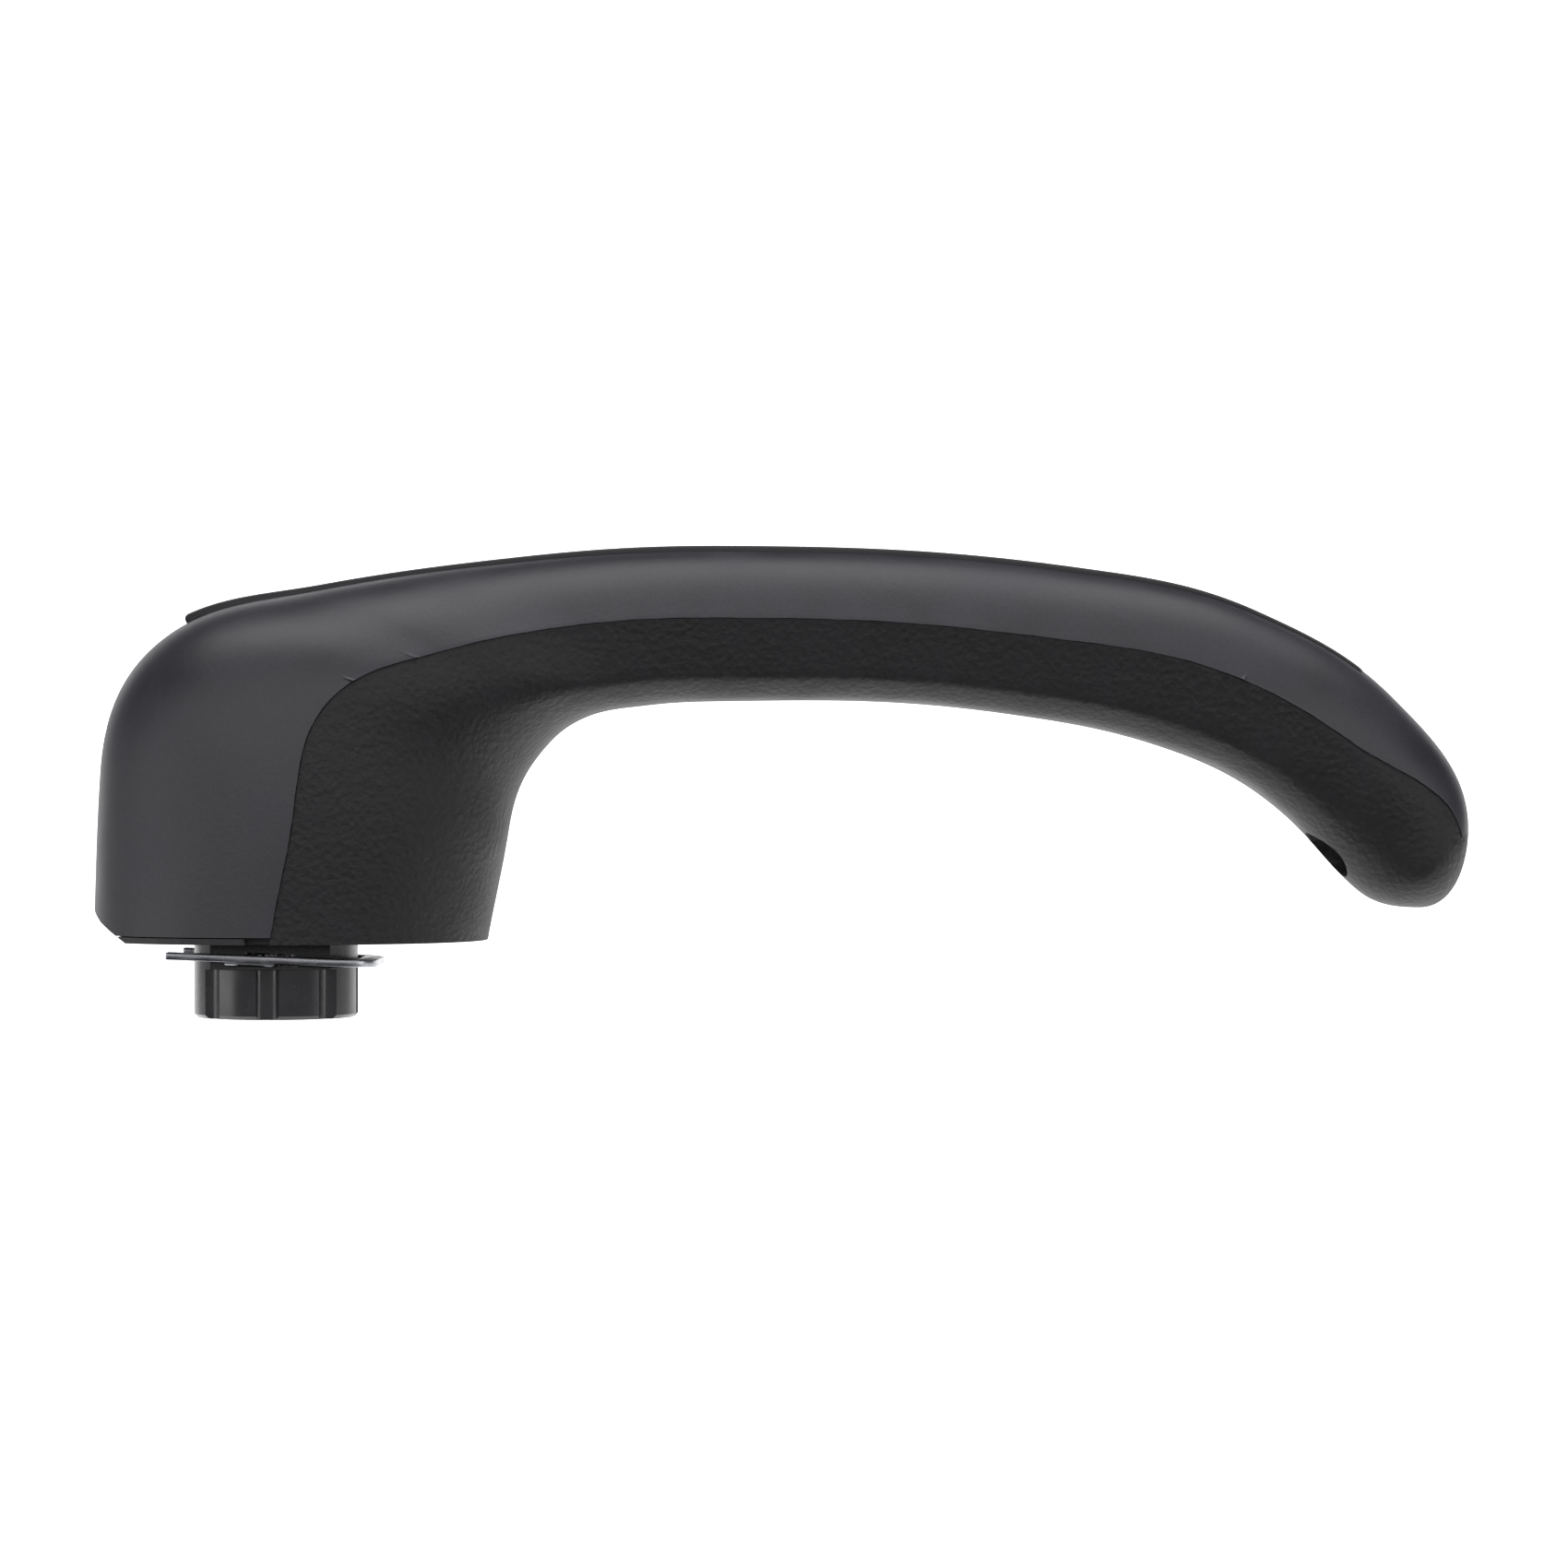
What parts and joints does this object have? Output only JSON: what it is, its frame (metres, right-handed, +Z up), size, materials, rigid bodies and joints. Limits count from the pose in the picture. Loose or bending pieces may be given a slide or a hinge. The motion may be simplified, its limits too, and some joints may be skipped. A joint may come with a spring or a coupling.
{
  "type": "vehicle door lever handle",
  "caption": "Arched lever door handle with a hub, a hollow two-shell grip over a cast arm, and a splined spindle socket locked by a sliding spring clip.",
  "frame": {"origin": "on the spindle axis at the hub's base plane, at the mouth side of the plain pilot bore", "axes": "+Z up through the hub along the spindle, away from the door; +X along the grip towards its tip; Y across the handle"},
  "size_m": [0.1497, 0.037, 0.0515],
  "materials": {
    "outer_shell": "fine satin moulding",
    "inner_shell": "fine spark-eroded grain",
    "crown_strip": "matte inlay",
    "core_arm": "as cast",
    "spindle_socket": "gloss black moulding",
    "retaining_clip": "bright spring steel",
    "base_plate": "matte",
    "screws": "black zinc",
    "tip_screw": "black zinc"
  },
  "bodies": {
    "lever": {"outer_shell": "outer_shell", "inner_shell": "inner_shell", "crown_strip": "crown_strip", "core_arm": "core_arm", "spindle_socket": "spindle_socket", "base_plate": "base_plate", "base_screws": "screws", "socket_screws": "screws", "tip_screw": "tip_screw"},
    "clip": {"retaining_clip": "retaining_clip"}
  },
  "joints": [
    {"name": "clip_slide", "type": "slide", "parent": "lever", "child": "clip", "axis": [0.9992, 0, -0.0401], "range_m": [0, 0.012]}
  ]
}
